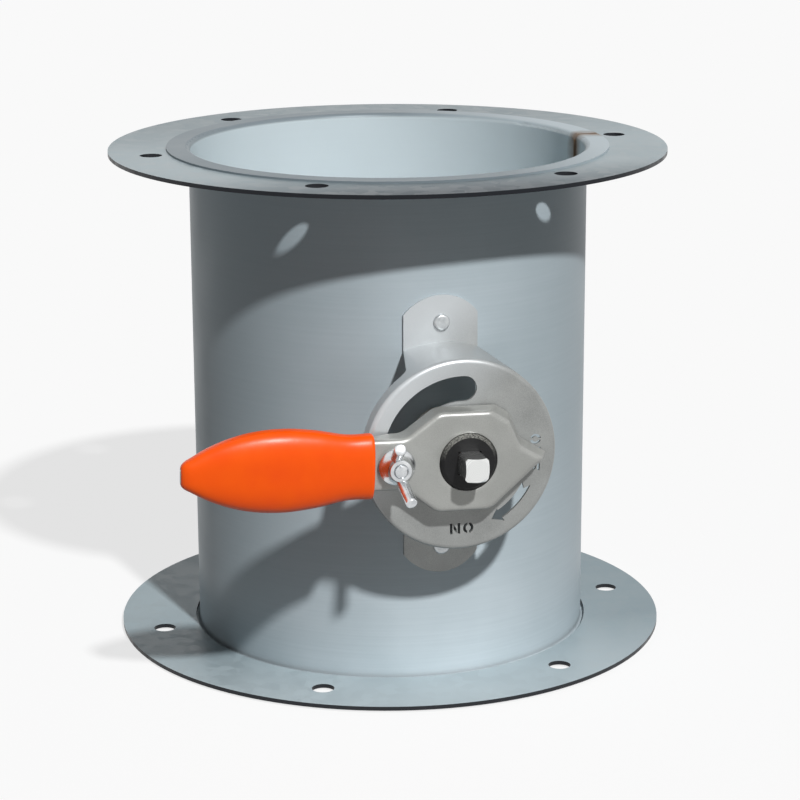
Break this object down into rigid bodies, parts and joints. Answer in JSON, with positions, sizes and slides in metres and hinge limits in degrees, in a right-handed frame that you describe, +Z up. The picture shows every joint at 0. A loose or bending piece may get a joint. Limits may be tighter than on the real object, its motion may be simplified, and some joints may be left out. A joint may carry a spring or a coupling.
{
  "type": "manual duct damper",
  "caption": "Round flanged duct section with a turning shut-off blade, a dial plate with an arc slot, and an orange-gripped lever that a wing nut clamps.",
  "frame": {"origin": "on the duct's axis at the underside of the lower lip", "axes": "+Z up the duct, the shaft along Y, the lever side towards -Y, the grip towards -X at rest"},
  "size_m": [0.28, 0.3081, 0.25],
  "materials": {
    "duct_sheet": "satin galvanised",
    "flange_plate": "spangled galvanised",
    "zinc_pressing": "satin zinc plate",
    "bright_hardware": "bright zinc plate",
    "turned_steel": "bright turned",
    "rivet_metal": "plain",
    "pale_nylon": "moulded",
    "black_nylon": "moulded",
    "orange_vinyl": "glossy",
    "spring_steel": "dark phosphated"
  },
  "bodies": {
    "housing": {"duct_body": "duct_sheet", "upper_flange": "flange_plate", "lower_flange": "flange_plate", "foot_rivets": "rivet_metal", "dial_plate": "zinc_pressing", "front_bush": "pale_nylon", "rear_bush": "pale_nylon", "dial_bush": "pale_nylon"},
    "damper_rotor": {"shaft": "turned_steel", "blade": "duct_sheet", "blade_bolts": "bright_hardware", "blade_washers": "bright_hardware", "blade_nuts": "bright_hardware", "front_circlip": "spring_steel", "rear_circlip": "spring_steel", "rear_washer": "bright_hardware", "drive_bush": "black_nylon", "lever": "zinc_pressing", "grip": "orange_vinyl", "clamp_bolt": "bright_hardware"},
    "clamp_washer": {"clamp_washer": "bright_hardware"},
    "wing_nut": {"wing_nut": "bright_hardware"}
  },
  "joints": [
    {"name": "lever_turn", "type": "hinge", "parent": "housing", "child": "damper_rotor", "pos_m": [0, 0, 0.125], "axis": [0, 1, 0], "range_deg": [-1.5, 88.5]},
    {"name": "clamp_slack", "type": "slide", "parent": "damper_rotor", "child": "clamp_washer", "axis": [0, -1, 0], "range_m": [0, 0.0016]},
    {"name": "wing_nut_turn", "type": "hinge", "parent": "clamp_washer", "child": "wing_nut", "pos_m": [-0.03449, -0.15, 0.1259], "axis": [0, -1, 0], "range_deg": [0, 540]}
  ],
  "couplings": [
    {"joint": "clamp_slack", "follows": "wing_nut_turn", "m_per_rad": 0.00015915}
  ]
}
